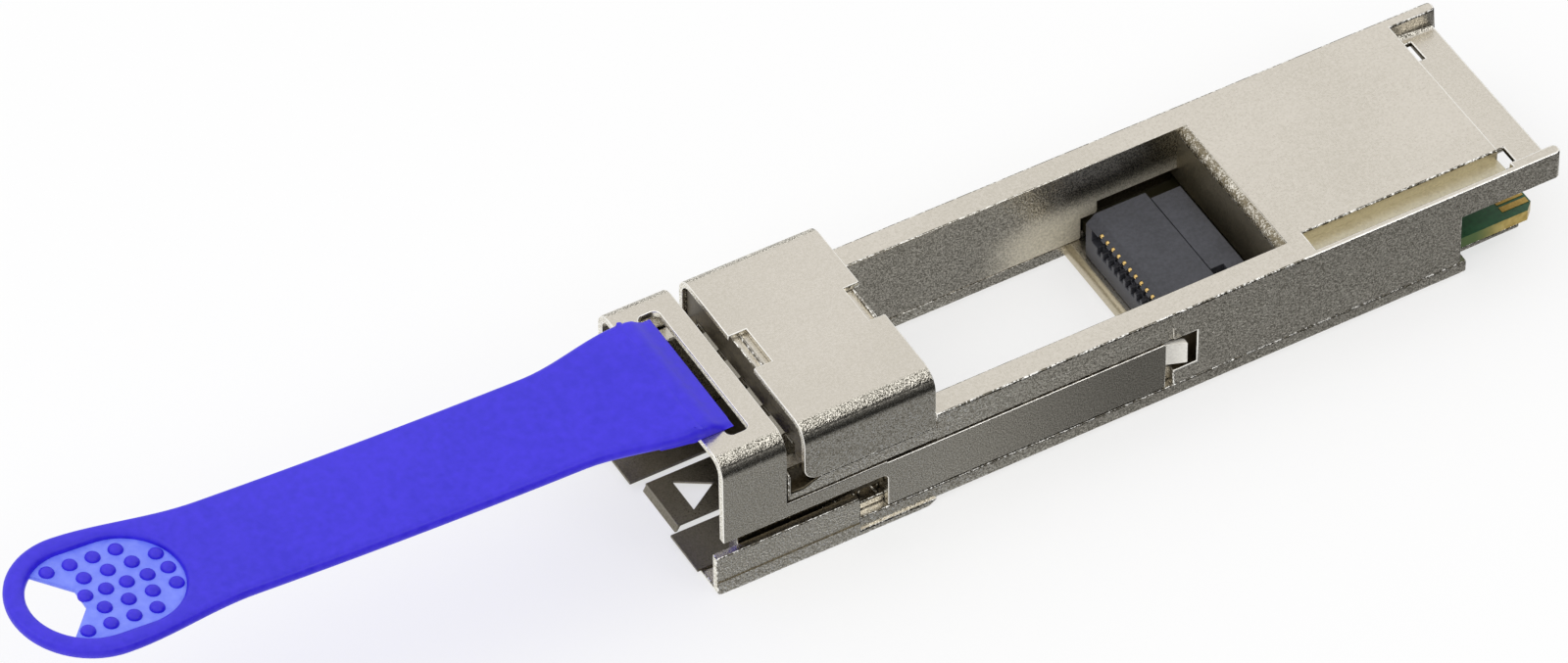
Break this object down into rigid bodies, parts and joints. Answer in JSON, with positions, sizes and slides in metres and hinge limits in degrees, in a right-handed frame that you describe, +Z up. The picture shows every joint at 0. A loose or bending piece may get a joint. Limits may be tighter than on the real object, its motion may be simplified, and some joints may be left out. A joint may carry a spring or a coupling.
{
  "type": "pluggable port adapter",
  "caption": "Metal plug adapter with an open nose port for a narrower module, a spring-loaded release slider and a soft pull tab.",
  "frame": {"origin": "middle of the plug body's underside, in its stop plane", "axes": "+X out of the plug's rear end along the plug, +Z up from the underside"},
  "size_m": [0.1226, 0.0194, 0.0171],
  "materials": {
    "cast_nickel": "satin nickel plate over a die casting",
    "sheet_nickel": "satin nickel plate over stamped sheet",
    "spring_steel": "bare spring steel",
    "screw_steel": "zinc-plated screw steel",
    "strap_rubber": "satin moulded rubber",
    "board_laminate": "green solder mask",
    "contact_gold": "gold plate",
    "connector_black": "moulded insulator",
    "chip_black": "moulded chip package",
    "ferrite_grey": "pressed ferrite",
    "ceramic_tan": "fired ceramic"
  },
  "bodies": {
    "adapter": {"housing": "cast_nickel", "bottom_tray": "cast_nickel", "latch_plate": "spring_steel", "front_hood": "sheet_nickel", "ground_spring": "spring_steel", "circuit_board": "board_laminate", "top_edge_pads": "contact_gold", "bottom_edge_pads": "contact_gold", "port_connector": "connector_black", "connector_cover": "connector_black", "upper_contacts": "contact_gold", "lower_contacts": "contact_gold", "memory_chip": "chip_black", "power_switch": "chip_black", "filter_inductors": "ferrite_grey", "capacitors": "ceramic_tan", "resistors": "chip_black", "near_return_spring": "spring_steel", "far_return_spring": "spring_steel", "tray_screws": "screw_steel"},
    "release": {"release_slider": "sheet_nickel", "pull_tab": "strap_rubber"}
  },
  "joints": [
    {"name": "release_slide", "type": "slide", "parent": "adapter", "child": "release", "axis": [-1, 0, 0], "range_m": [0, 0.0022], "stiffness_N_per_m": 600, "springref_m": -0.001, "deforming": ["near_return_spring", "far_return_spring"]}
  ]
}
